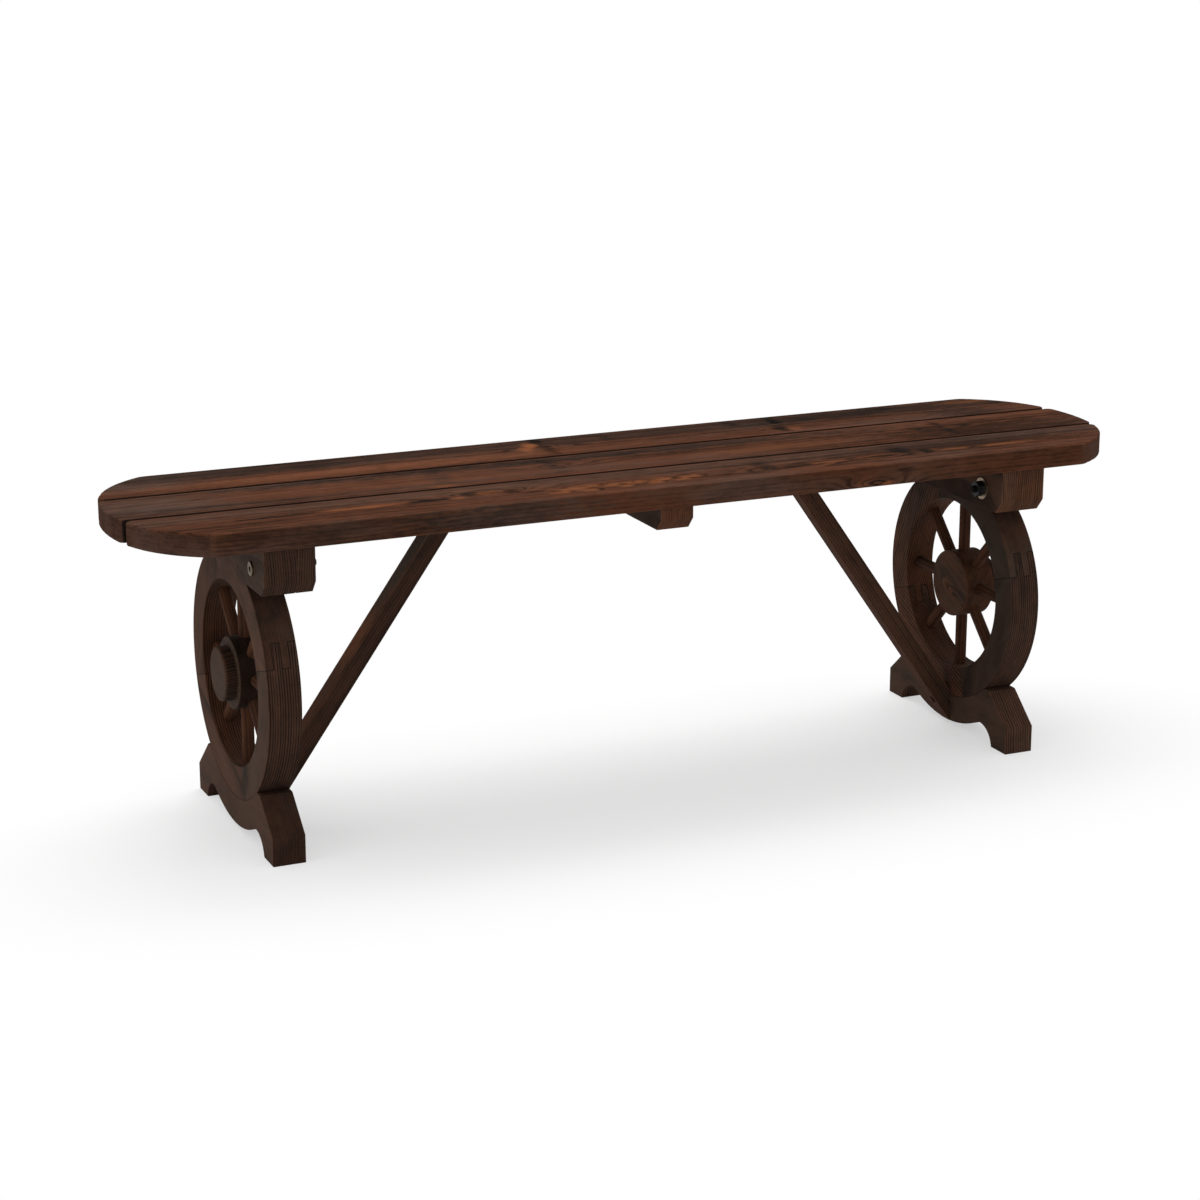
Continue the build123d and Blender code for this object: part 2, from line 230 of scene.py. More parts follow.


# a streak, stain, scorched wisp or patch of painted light or shade at one place, with edges frayed along the grain
def makeMarkGroup(edge):
    group, taken, given = newGroup(
        "grainMark",
        [("Place", vectorKind, None), ("Centre", vectorKind, None), ("Reach", vectorKind, None),
         ("Seed", floatKind, 0.0), ("Fray", floatKind, 2.2)],
        [("Mask", floatKind)],
    )
    offset = vectorNode(group, "SUBTRACT", taken["Place"], taken["Centre"])
    share = vectorNode(group, "LENGTH", vectorNode(group, "DIVIDE", offset, taken["Reach"]))
    fray = grainNoise(group, taken["Place"], taken["Seed"], "fray")
    share = mathNode(group, "MULTIPLY_ADD", fray, taken["Fray"], share)
    group.links.new(easeNode(group, share, *edge), given["Mask"])
    return group


# depths in shares of the rounding: where the band of wear and painted highlight ends inside and outside, and where
# the flat face begins; worn is the range of noise that breaks the band up
arrisShape = {
    "inner": (1.5, 0.8),
    "outer": (0.02, 0.2),
    "face": (0.6, 0.1),
    "worn": (-0.2, 0.15),
}


# edges eased by hand, worn and with a painted highlight: 1 on the rounding where a face at this distance from the
# middle plane meets its sides
def makeArrisGroup(shape):
    group, taken, given = newGroup(
        "arrisWearAndHighlight",
        [("Place", vectorKind, None), ("Across", vectorKind, None), ("Middle", floatKind, 0.0),
         ("Half", floatKind, 0.02), ("Round", floatKind, 0.0012), ("Seed", floatKind, 0.0)],
        [("Mask", floatKind), ("Face", floatKind)],
    )
    across = vectorNode(group, "DOT_PRODUCT", taken["Place"], taken["Across"])
    shift = mathNode(group, "SUBTRACT", across, taken["Middle"])
    depth = mathNode(group, "SUBTRACT", taken["Half"], mathNode(group, "ABSOLUTE", shift))
    share = mathNode(group, "DIVIDE", depth, taken["Round"])
    inner = easeNode(group, share, *shape["inner"])
    band = mathNode(group, "MULTIPLY", inner, easeNode(group, share, *shape["outer"]))
    worn = grainNoise(group, taken["Place"], taken["Seed"], "wearAndHighlight")
    group.links.new(mathNode(group, "MULTIPLY", band, easeNode(group, worn, *shape["worn"])), given["Mask"])
    group.links.new(easeNode(group, share, *shape["face"]), given["Face"])
    return group


# glue lines of the finger joints: the wheel's joints repeat every quarter turn, and layers lean by turns
def makeSeamGroup(edge):
    group, taken, given = newGroup(
        "fingerSeam",
        [("Place", vectorKind, None), ("Start", floatKind, 0.0), ("Layer", floatKind, 0.01),
         ("Height", floatKind, 0.2), ("Joint", floatKind, 0.4), ("Lean", floatKind, 0.1),
         ("Width", floatKind, 0.0004)],
        [("Mask", floatKind)],
    )
    axes = addNode(group, "ShaderNodeSeparateXYZ", {0: taken["Place"]}).outputs
    up = mathNode(group, "SUBTRACT", axes["Z"], taken["Height"])
    front = mathNode(group, "MULTIPLY", axes["Y"], -1.0)
    turn = mathNode(group, "SUBTRACT", mathNode(group, "ARCTAN2", up, front), taken["Joint"])
    turn = mathNode(group, "WRAP", turn, math.pi / 4, -math.pi / 4)
    radius = vectorNode(group, "LENGTH", addNode(group, "ShaderNodeCombineXYZ", {"X": up, "Y": front}).outputs[0])
    layer = mathNode(group, "DIVIDE", mathNode(group, "SUBTRACT", axes["X"], taken["Start"]), taken["Layer"])
    odd = mathNode(group, "MODULO", mathNode(group, "FLOOR", layer), 2.0)
    lean = mathNode(group, "MULTIPLY", mathNode(group, "MULTIPLY_ADD", odd, 2.0, -1.0), taken["Lean"])
    across = mathNode(group, "ABSOLUTE", mathNode(group, "SUBTRACT", turn, lean))
    across = mathNode(group, "DIVIDE", mathNode(group, "MULTIPLY", across, radius), taken["Width"])
    near = mathNode(group, "ROUND", layer)
    along = mathNode(group, "ABSOLUTE", mathNode(group, "SUBTRACT", layer, near))
    along = mathNode(group, "DIVIDE", mathNode(group, "MULTIPLY", along, taken["Layer"]), taken["Width"])
    inside = mathNode(group, "LESS_THAN", mathNode(group, "ABSOLUTE", turn), taken["Lean"])
    middle = mathNode(group, "COMPARE", near, 2.0, 1.5)  # the three lines between the four layers
    inside = mathNode(group, "MULTIPLY", inside, middle)
    sideLine = mathNode(group, "MULTIPLY", inside, easeNode(group, along, *edge))
    group.links.new(mathNode(group, "MAXIMUM", easeNode(group, across, *edge), sideLine), given["Mask"])
    return group


# how strongly each part of the figure acts on the tone, and at which tones one shade turns into the next; a pair is
# the two ends of a smooth step, but a factor and an addend in sawn, in the grey of ash and painted sheen, and in
# rough
boardMix = {
    "knotRipple": 2.5,
    "paceStep": 0.4,
    "lateRise": (0.3, 0.85),
    "lateFall": (1.0, 0.9),
    "lateLeast": 0.5,
    "calm": -0.92,
    "sawn": (0.45, -0.05),
    "fibre": 0.16,
    "pore": 0.42,
    "knotLines": 3.0,
    "knotCore": 0.3,
    "arris": 0.22,
    "dark": (-0.1, 0.28),
    "middle": (0.2, 0.54),
    "light": (0.48, 0.86),
    "smoke": (-0.02, 0.2),
    "ashAndSheen": (1.5, 0.25),
    "knotGlow": 0.16,
    "glow": (0.09, 0.28),
    "seam": 0.92,
    "rough": (-0.1, 0.86),
    "roughPore": 0.25,
    "relief": {"late": 0.6, "fibre": 0.5, "pore": 0.5, "seam": -1.5},
}


# burnt board: growth rings about a pith under the face, streaks that follow them, scorched patches and fibres
def makeBoardGroup(mix):
    amounts = {
        "Seed": 0.0, "Ring Gap": 0.004, "Pith": 0.12, "Aside": 0.0, "Wander": 0.01, "Ripple": 0.001, "Lift": 0.0,
        "Core": 0.0, "Halo": 0.0, "Mark": 0.0, "Wisp": 0.0, "Arris": 0.0, "Calm": 0.0, "Seam": 0.0, "Pace": 0.6,
        "Lines": 0.4, "Streaks": 0.5, "Mottle": 0.5, "Patches": 0.5, "Glow": 0.5, "Grey": 0.3, "AshAndSheenShare": 0.0,
        "Shade": 1.0,
    }
    group, taken, given = newGroup(
        "burntBoard",
        [("Place", vectorKind, None), *((label, floatKind, value) for label, value in amounts.items()),
         *((label, colorKind, None) for label in ("Char", "Dark", "Middle", "Light", "Ember", "AshAndSheenColor"))],
        [("Color", colorKind), ("Roughness", floatKind), ("Height", floatKind)],
    )
    place, seed = taken["Place"], taken["Seed"]
    axes = addNode(group, "ShaderNodeSeparateXYZ", {0: place}).outputs
    sway = grainNoise(group, place, seed, "sway")
    ripple = grainNoise(group, place, seed, "ripple")
    aside = mathNode(group, "SUBTRACT", axes["Y"], taken["Aside"])
    deep = mathNode(group, "ADD", axes["Z"], taken["Pith"])
    radius = vectorNode(group, "LENGTH", addNode(group, "ShaderNodeCombineXYZ", {"X": aside, "Y": deep}).outputs[0])
    arc = mathNode(group, "MULTIPLY", mathNode(group, "ARCTAN2", aside, deep), taken["Pith"])
    radius = mathNode(group, "MULTIPLY_ADD", sway, taken["Wander"], radius)
    wild = mathNode(group, "MULTIPLY_ADD", taken["Halo"], mix["knotRipple"], 1.0)
    radius = mathNode(group, "MULTIPLY_ADD", ripple, mathNode(group, "MULTIPLY", taken["Ripple"], wild), radius)
    radius = mathNode(group, "ADD", radius, taken["Lift"])
    ring = mathNode(group, "DIVIDE", radius, taken["Ring Gap"])
    inputs = {"W": mathNode(group, "MULTIPLY", ring, mix["paceStep"]), "Scale": 1.0, "Detail": 1.0}
    pace = addNode(group, "ShaderNodeTexNoise", inputs, noise_dimensions="1D").outputs["Fac"]
    ring = mathNode(group, "MULTIPLY_ADD", pace, taken["Pace"], ring)
    part = mathNode(group, "FRACT", ring)
    rise = easeNode(group, part, *mix["lateRise"])
    late = mathNode(group, "MULTIPLY", rise, easeNode(group, part, *mix["lateFall"]))
    single = addNode(group, "ShaderNodeTexWhiteNoise", {"W": mathNode(group, "FLOOR", ring)}, noise_dimensions="1D")
    single = mathNode(group, "MULTIPLY_ADD", single.outputs["Value"], 1 - mix["lateLeast"], mix["lateLeast"])
    late = mathNode(group, "MULTIPLY", late, single)

    # the figure runs along the board, through the rings and around the pith, so it bends with the grain
    figure = addNode(group, "ShaderNodeCombineXYZ", {"X": axes["X"], "Y": ring, "Z": arc}).outputs[0]
    streak = grainNoise(group, figure, seed, "streak")
    ember = grainNoise(group, figure, seed, "ember")
    patch = grainNoise(group, place, seed, "patch")
    mottle = grainNoise(group, place, seed, "mottle")
    smoke = grainNoise(group, place, seed, "smoke")
    sawn = grainNoise(group, place, seed, "sawn")
    fibre = grainNoise(group, place, seed, "fibre")
    pore = grainNoise(group, place, seed, "pore")

    lively = mathNode(group, "MULTIPLY_ADD", taken["Calm"], mix["calm"], 1.0)
    tone = mathNode(group, "MULTIPLY", streak, mathNode(group, "MULTIPLY", taken["Streaks"], lively))
    tone = mathNode(group, "ADD", tone, 0.5)
    tone = mathNode(group, "MULTIPLY_ADD", mottle, taken["Mottle"], tone)
    sawn = mathNode(group, "MULTIPLY_ADD", sawn, *mix["sawn"])
    tone = mathNode(group, "MULTIPLY_ADD", sawn, taken["Calm"], tone)
    tone = mathNode(group, "MULTIPLY_ADD", patch, taken["Patches"], tone)
    tone = mathNode(group, "MULTIPLY_ADD", fibre, mix["fibre"], tone)
    tone = mathNode(group, "MULTIPLY_ADD", pore, mix["pore"], tone)
    nearKnot = mathNode(group, "MULTIPLY_ADD", taken["Halo"], mix["knotLines"], 1.0)
    strength = mathNode(group, "MULTIPLY", mathNode(group, "MULTIPLY", taken["Lines"], nearKnot), lively)
    tone = mathNode(group, "SUBTRACT", tone, mathNode(group, "MULTIPLY", late, strength))
    tone = mathNode(group, "SUBTRACT", tone, mathNode(group, "MULTIPLY", taken["Core"], mix["knotCore"]))
    tone = mathNode(group, "ADD", tone, taken["Mark"])
    # painted highlight, with wear: the rounded edges come out lighter
    tone = mathNode(group, "MULTIPLY_ADD", taken["Arris"], mix["arris"], tone)

    color = mixColor(group, easeNode(group, tone, *mix["dark"]), taken["Char"], taken["Dark"])
    color = mixColor(group, easeNode(group, tone, *mix["middle"]), color, taken["Middle"])
    color = mixColor(group, easeNode(group, tone, *mix["light"]), color, taken["Light"])
    # greying towards the ash colour: random smoke, and marks and faces that are partly ash and partly painted sheen
    dull = easeNode(group, smoke, *mix["smoke"])
    dull = mathNode(group, "MULTIPLY_ADD", dull, taken["Grey"], taken["AshAndSheenShare"], clamp=True)
    level = mathNode(group, "MULTIPLY_ADD", tone, *mix["ashAndSheen"], clamp=True)
    ashAndSheen = addNode(group, "ShaderNodeVectorMath", {0: taken["AshAndSheenColor"], "Scale": level}, operation="SCALE")
    color = mixColor(group, dull, color, ashAndSheen.outputs["Vector"])
    warm = mathNode(group, "MULTIPLY_ADD", taken["Halo"], mix["knotGlow"], ember)
    warm = mathNode(group, "MULTIPLY", easeNode(group, warm, *mix["glow"]), mathNode(group, "SUBTRACT", 1.0, late))
    warm = mathNode(group, "MULTIPLY", warm, taken["Glow"])
    color = mixColor(group, mathNode(group, "MAXIMUM", warm, taken["Wisp"]), color, taken["Ember"])
    # glue lines, and painted shade in the seat's gaps, darken towards char
    color = mixColor(group, mathNode(group, "MULTIPLY", taken["Seam"], mix["seam"]), color, taken["Char"])
    toned = addNode(group, "ShaderNodeVectorMath", {0: color, "Scale": taken["Shade"]}, operation="SCALE")
    group.links.new(toned.outputs["Vector"], given["Color"])

    rough = mathNode(group, "MULTIPLY_ADD", tone, *mix["rough"])
    group.links.new(mathNode(group, "MULTIPLY_ADD", pore, mix["roughPore"], rough), given["Roughness"])
    relief = mathNode(group, "MULTIPLY", fibre, mix["relief"]["fibre"])
    relief = mathNode(group, "MULTIPLY_ADD", late, mix["relief"]["late"], relief)
    relief = mathNode(group, "MULTIPLY_ADD", pore, mix["relief"]["pore"], relief)
    relief = mathNode(group, "MULTIPLY_ADD", taken["Seam"], mix["relief"]["seam"], relief)
    group.links.new(relief, given["Height"])
    return group


knotGroup = makeKnotGroup(knotShape)
markGroup = makeMarkGroup((1.0, 0.2))  # from the edge of a mark to its full strength, in shares of its reach
arrisGroup = makeArrisGroup(arrisShape)
seamGroup = makeSeamGroup((1.3, 0.5))  # from the edge of a glue line to its full strength, in shares of its width
boardGroup = makeBoardGroup(boardMix)
print("wood made")

# shades of the burnt wood, as linear colours
seatShades = {
    "Char": (0.0120, 0.0085, 0.0068, 1),
    "Dark": (0.031, 0.0134, 0.0076, 1),
    "Middle": (0.082, 0.0310, 0.0165, 1),
    "Light": (0.144, 0.055, 0.0300, 1),
    "Ember": (0.225, 0.076, 0.0290, 1),
    "AshAndSheenColor": (0.094, 0.061, 0.0480, 1),
}
frameShades = {
    "Char": (0.0110, 0.0070, 0.0055, 1),
    "Dark": (0.027, 0.0140, 0.0092, 1),
    "Middle": (0.052, 0.0245, 0.0150, 1),
    "Light": (0.086, 0.038, 0.0215, 1),
    "Ember": (0.140, 0.051, 0.0190, 1),
    "AshAndSheenColor": (0.062, 0.044, 0.0310, 1),
}
warmShades = {
    "Char": (0.018, 0.0095, 0.0062, 1),
    "Dark": (0.044, 0.0185, 0.0102, 1),
    "Middle": (0.084, 0.0330, 0.0162, 1),
    "Light": (0.128, 0.049, 0.0225, 1),
    "Ember": (0.180, 0.062, 0.0200, 1),
    "AshAndSheenColor": (0.064, 0.044, 0.0320, 1),
}
dowelShades = {
    "Char": (0.16, 0.09, 0.045, 1),
    "Dark": (0.30, 0.19, 0.10, 1),
    "Middle": (0.45, 0.30, 0.17, 1),
    "Light": (0.56, 0.40, 0.24, 1),
    "Ember": (0.52, 0.34, 0.17, 1),
    "AshAndSheenColor": (0.42, 0.31, 0.20, 1),
}


def placeGroup(tree, group, links, values):
    node = addNode(tree, "ShaderNodeGroup", node_tree=group)
    for label, socket in links.items():
        tree.links.new(socket, node.inputs[label])
    for label, value in values.items():
        node.inputs[label].default_value = value
    return node.outputs


# shared by all boards: step from one mark's seed to the next, the input that each kind of mark feeds, and the relief
boardShared = {
    "seedStep": 0.37,
    "marks": {"tone": ("Mark", "ADD"), "ember": ("Wisp", "MAXIMUM"), "ashAndSheen": ("AshAndSheenShare", "MAXIMUM")},
    "bump": {"Strength": 0.35, "Distance": 0.0006},
}


# a board's finish: grain and face are directions, centre is the point under which the pith lies
def boardFinish(name, centre, grain, face, shades, look, knots=(), marks=(), edges=None, seam=None, tips=None,
                gaps=(), gloss=0.05):
    finish = bpy.data.materials.new(name)
    finish.use_nodes = True
    tree = finish.node_tree
    shader = tree.nodes["Principled BSDF"]
    along = Vector(grain).normalized()
    out = Vector(face)
    out = (out - along * out.dot(along)).normalized()
    across = out.cross(along)
    turn = Matrix((along, across, out)).transposed().to_euler()
    place = addNode(tree, "ShaderNodeTexCoord").outputs["Object"]
    inputs = {"Vector": place, "Location": centre, "Rotation": turn}
    local = addNode(tree, "ShaderNodeMapping", inputs, vector_type="TEXTURE").outputs[0]
    axes = addNode(tree, "ShaderNodeSeparateXYZ", {0: local}).outputs
    links = {"Place": local}

    def join(label, operation, value):
        links[label] = mathNode(tree, operation, links[label], value) if label in links else value

    for spot in knots:
        knot = placeGroup(tree, knotGroup, {"Place": local}, spot)
        for label, operation in (("Lift", "ADD"), ("Core", "MAXIMUM"), ("Halo", "MAXIMUM")):
            join(label, operation, knot[label])
    for index, mark in enumerate(marks):
        seed = look["Seed"] + index * boardShared["seedStep"]
        values = {"Centre": mark["at"], "Reach": mark["reach"], "Seed": seed}
        mask = placeGroup(tree, markGroup, {"Place": local}, values)["Mask"]
        for key, (label, operation) in boardShared["marks"].items():
            if key in mark:
                join(label, operation, mathNode(tree, "MULTIPLY", mask, mark[key]))
    if edges:
        values = {key: value for key, value in edges.items() if not key.startswith("face")}
        wearAndHighlight = placeGroup(tree, arrisGroup, {"Place": place}, {**values, "Seed": look["Seed"]})
        join("Arris", "MAXIMUM", wearAndHighlight["Mask"])
        # painted light and shade: flat faces brighter or darker than the sides
        if "faceShade" in edges:
            change = look["Shade"] * (edges["faceShade"] - 1)
            join("Shade", "MULTIPLY", mathNode(tree, "MULTIPLY_ADD", wearAndHighlight["Face"], change, look["Shade"]))
        for label, key in (("Calm", "faceCalm"), ("AshAndSheenShare", "faceAsh")):
            if key in edges:
                join(label, "MAXIMUM", mathNode(tree, "MULTIPLY", wearAndHighlight["Face"], edges[key]))
    if seam:
        join("Seam", "MAXIMUM", placeGroup(tree, seamGroup, {"Place": place}, seam)["Mask"])
    if tips:
        lower = easeNode(tree, axes["Z"], *tips["down"])
        outer = easeNode(tree, mathNode(tree, "ABSOLUTE", axes["X"]), *tips["along"])
        outer = mathNode(tree, "MULTIPLY", outer, lower)
        # painted shade: below the top face the sides come out darker, and the ends darker still
        paintedShadeFactor = mathNode(tree, "MULTIPLY_ADD", lower, look["Shade"] * (tips["paintedSideShade"] - 1), look["Shade"])
        paintedShadeFactor = mathNode(tree, "MULTIPLY", paintedShadeFactor, mathNode(tree, "MULTIPLY_ADD", outer, tips["paintedEndShade"] - 1, 1.0))
        join("Calm", "MAXIMUM", mathNode(tree, "MAXIMUM", outer, mathNode(tree, "MULTIPLY", lower, tips["side"])))
        join("AshAndSheenShare", "MAXIMUM", mathNode(tree, "MULTIPLY", outer, tips["ashAndSheen"]))
        join("Shade", "MULTIPLY", paintedShadeFactor)
        join("Lines", "ADD", mathNode(tree, "MULTIPLY_ADD", lower, tips["sideLines"], look["Lines"]))
    # painted shade: the walls beside the seat's gaps, and less so the rear board's back face, darken towards char
    for way, near, far, depth in gaps:
        wall = easeNode(tree, mathNode(tree, "MULTIPLY", axes["Y"], way), near, far, 0.0, depth)
        join("Seam", "MAXIMUM", wall)
    values = {label: value for label, value in {**shades, **look}.items() if label not in links}
    board = placeGroup(tree, boardGroup, links, values)
    tree.links.new(board["Color"], shader.inputs["Base Color"])
    tree.links.new(board["Roughness"], shader.inputs["Roughness"])
    bump = addNode(tree, "ShaderNodeBump", {"Height": board["Height"], **boardShared["bump"]})
    tree.links.new(bump.outputs["Normal"], shader.inputs["Normal"])
    shader.inputs["Specular IOR Level"].default_value = gloss
    return finish


def dress(node, finish):
    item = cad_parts[node]
    item.data.materials.clear()
    item.data.materials.append(finish)


# seat boards: centre line in y; knots and marks are placed along the board, across it and up from its top
seat = {
    "top": 0.4315,
    "gloss": 0.006,
    "look": {"Ring Gap": 0.0048, "Pith": 0.075, "Wander": 0.012, "Ripple": 0.0016, "Pace": 1.6, "Lines": 0.16,
             "Streaks": 0.7, "Mottle": 0.5, "Patches": 0.7, "Glow": 0.35, "Grey": 0.4},
    # below the top face: painted shade on sides and ends, calmer grain, greyer ends (ash and painted sheen), more
    # lines
    "tips": {"along": (0.595, 0.62), "down": (-0.0015, -0.003), "side": 0.48, "paintedSideShade": 0.88, "paintedEndShade": 0.88,
             "ashAndSheen": 0.3, "sideLines": 0.07},
    "edges": {"Across": (0, 1, 0), "Half": 0.053, "Round": 0.002},
    "gap": (0.0512, 0.0526, 1.0),  # painted shade on the walls beside a gap
    "back": (0.0512, 0.0526, 0.6),
    "boards": {
        "front_slat": {
            "line": -0.112, "seed": 2.0, "aside": -0.006, "shade": 1.0, "gaps": [(1, "gap")],
            "knots": [
                {"Centre": (-0.232, 0.012, 0), "Size": 0.005, "Reach": 5.0, "Lift": 0.022},
                {"Centre": (-0.06, -0.008, 0), "Size": 0.001, "Reach": 22.0, "Lift": 0.030},
                {"Centre": (0.185, -0.013, 0), "Size": 0.006, "Reach": 3.6, "Lift": 0.018},
                {"Centre": (0.32, -0.008, 0), "Size": 0.002, "Reach": 9.0, "Lift": 0.014},
                {"Centre": (0.288, -0.053, -0.026), "Size": 0.0012, "Reach": 16.0, "Lift": 0.022},
            ],
            "marks": [
                {"at": (0, 0.034, 0), "reach": (3.0, 0.034, 0.02), "tone": -0.06, "ashAndSheen": 0.35},
                {"at": (0.50, 0.020, 0), "reach": (0.24, 0.050, 0.02), "tone": -0.18},
                {"at": (-0.56, -0.003, 0), "reach": (0.07, 0.0024, 0.01), "tone": -0.3},
                {"at": (-0.515, -0.0005, 0), "reach": (0.075, 0.005, 0.01), "tone": -0.5},
                {"at": (-0.40, 0.001, 0), "reach": (0.07, 0.008, 0.01), "ember": 0.7},
                {"at": (-0.325, 0.001, 0), "reach": (0.046, 0.009, 0.01), "tone": -0.6},
                {"at": (-0.277, 0.0, 0), "reach": (0.016, 0.008, 0.01), "ember": 0.6},
                {"at": (-0.257, 0.012, 0), "reach": (0.020, 0.018, 0.01), "tone": -0.35},
                {"at": (-0.235, 0.012, 0), "reach": (0.032, 0.014, 0.01), "ember": 0.4},
                {"at": (-0.205, 0.004, 0), "reach": (0.018, 0.014, 0.01), "tone": -0.3},
                {"at": (-0.178, -0.007, 0), "reach": (0.028, 0.005, 0.01), "tone": -0.42},
                {"at": (-0.153, -0.021, 0), "reach": (0.012, 0.014, 0.01), "tone": -0.25},
                {"at": (0.12, -0.023, 0), "reach": (0.09, 0.006, 0.01), "tone": -0.25},
                {"at": (0.15, 0.004, 0), "reach": (0.020, 0.034, 0.01), "tone": -0.24},
                {"at": (0.195, -0.010, 0), "reach": (0.024, 0.012, 0.01), "tone": -0.4},
                {"at": (0.245, -0.010, 0), "reach": (0.044, 0.007, 0.01), "ember": 0.5},
                {"at": (0.287, -0.011, 0), "reach": (0.018, 0.008, 0.01), "tone": -0.5},
                {"at": (0.325, -0.010, 0), "reach": (0.028, 0.007, 0.01), "tone": -0.42},
                {"at": (0.357, 0.012, 0), "reach": (0.022, 0.036, 0.01), "tone": -0.3},
                {"at": (0.39, -0.004, 0), "reach": (0.014, 0.014, 0.01), "tone": -0.3},
                {"at": (0.428, -0.008, 0), "reach": (0.038, 0.007, 0.01), "ember": 0.5},
                {"at": (0.456, -0.008, 0), "reach": (0.012, 0.006, 0.01), "tone": -0.4},
                {"at": (0.515, -0.008, 0), "reach": (0.055, 0.008, 0.01), "ember": 0.55},
                {"at": (-0.24, -0.053, -0.015), "reach": (0.17, 0.010, 0.03), "tone": -0.2, "ashAndSheen": 0.6},
                {"at": (0.08, -0.053, -0.015), "reach": (0.14, 0.008, 0.03), "tone": -0.04, "ashAndSheen": 0.2},
                {"at": (-0.48, -0.053, -0.015), "reach": (0.28, 0.012, 0.03), "tone": -0.15, "ashAndSheen": 0.15},
                {"at": (0.33, -0.053, -0.009), "reach": (0.022, 0.005, 0.006), "tone": -0.3},
                {"at": (0.305, -0.053, -0.026), "reach": (0.016, 0.005, 0.004), "ember": 0.8},
            ],
            # scorched tips of the grain along the board's middle: place along and across, and size
            "flames": [(-0.150, -0.024, 0.8), (-0.128, -0.014, 1.2), (-0.112, -0.027, 0.8), (-0.100, -0.009, 0.7),
                       (-0.077, -0.013, 1.0), (-0.060, -0.025, 0.7), (-0.055, -0.009, 0.6), (-0.038, -0.012, 1.1),
                       (-0.018, -0.023, 0.7), (-0.005, -0.011, 1.2), (0.022, -0.020, 0.7), (0.034, -0.010, 1.1)],
        },
        "middle_slat": {
            "line": 0.0, "seed": 5.0, "aside": -0.015, "shade": 0.95, "gaps": [(1, "gap"), (-1, "gap")],
            "knots": [
                {"Centre": (-0.10, 0.004, 0), "Size": 0.002, "Reach": 9.0, "Lift": 0.010},
                {"Centre": (0.485, 0.0, 0), "Size": 0.002, "Reach": 8.0, "Lift": 0.008},
            ],
            "marks": [
                # grey at the left end: ash and painted sheen
                {"at": (-0.66, 0.0, 0), "reach": (0.16, 0.070, 0.03), "tone": -0.02, "ashAndSheen": 0.6},
                {"at": (0.0, 0.037, 0), "reach": (0.62, 0.024, 0.02), "tone": -0.3, "ashAndSheen": 0.4},
                {"at": (-0.45, 0.042, 0), "reach": (0.25, 0.018, 0.02), "tone": -0.18, "ashAndSheen": 0.45},
                {"at": (-0.262, -0.01, 0), "reach": (0.022, 0.060, 0.01), "tone": -0.14, "ashAndSheen": 0.2},
                {"at": (-0.27, -0.045, 0), "reach": (0.024, 0.010, 0.01), "ember": 0.4},
                {"at": (-0.10, 0.0, 0), "reach": (0.022, 0.060, 0.01), "tone": -0.16, "ashAndSheen": 0.2},
                {"at": (-0.3, -0.035, 0), "reach": (0.3, 0.014, 0.01), "tone": -0.1, "ashAndSheen": 0.25},
                {"at": (0.24, -0.013, 0), "reach": (0.19, 0.026, 0.01), "tone": 0.05, "ember": 0.16},
                {"at": (0.485, 0.0, 0), "reach": (0.012, 0.060, 0.01), "tone": -0.22},
                {"at": (0.56, -0.02, 0), "reach": (0.22, 0.075, 0.02), "tone": -0.2},
            ],
        },
        "rear_slat": {
            "line": 0.112, "seed": 9.0, "aside": 0.02, "shade": 0.90, "gaps": [(-1, "gap"), (1, "back")],
            "knots": [
                {"Centre": (-0.072, 0.002, 0), "Size": 0.004, "Reach": 4.0, "Lift": 0.014},
                {"Centre": (0.283, -0.022, 0), "Size": 0.003, "Reach": 4.0, "Lift": 0.010},
            ],
            "marks": [
                # grey at the left end: ash and painted sheen
                {"at": (-0.64, 0.015, 0), "reach": (0.15, 0.065, 0.03), "tone": -0.02, "ashAndSheen": 0.6},
                {"at": (0.0, 0.026, 0), "reach": (3.0, 0.038, 0.02), "tone": -0.22, "ashAndSheen": 0.3},
                {"at": (0.45, 0.0, 0), "reach": (0.30, 0.080, 0.02), "tone": -0.08},
                {"at": (-0.36, -0.032, 0), "reach": (0.42, 0.028, 0.01), "tone": 0.1, "ember": 0.16},
                {"at": (-0.095, -0.006, 0), "reach": (0.016, 0.022, 0.01), "ember": 0.7},
                {"at": (-0.083, 0.014, 0), "reach": (0.015, 0.024, 0.01), "ember": 0.9},
                {"at": (-0.067, -0.018, 0), "reach": (0.015, 0.040, 0.01), "tone": -0.32},
                {"at": (-0.067, 0.038, 0), "reach": (0.013, 0.022, 0.01), "tone": -0.35},
                {"at": (-0.31, -0.03, 0), "reach": (0.012, 0.024, 0.01), "tone": -0.16},
                {"at": (0.03, 0.02, 0), "reach": (0.012, 0.034, 0.01), "tone": -0.14},
                {"at": (0.225, 0.03, 0), "reach": (0.015, 0.026, 0.01), "tone": -0.2},
                {"at": (0.279, -0.025, 0), "reach": (0.014, 0.034, 0.01), "tone": -0.4},
                {"at": (0.289, 0.025, 0), "reach": (0.013, 0.034, 0.01), "tone": -0.26},
                {"at": (0.295, -0.03, 0), "reach": (0.016, 0.014, 0.01), "ember": 0.5},
                {"at": (0.46, 0.03, 0), "reach": (0.04, 0.024, 0.01), "tone": -0.08},
                {"at": (0.57, -0.03, 0), "reach": (0.08, 0.040, 0.01), "tone": -0.2},
                {"at": (0.61, 0.03, 0), "reach": (0.07, 0.014, 0.01), "ember": 0.35},
            ],
        },
    },
}
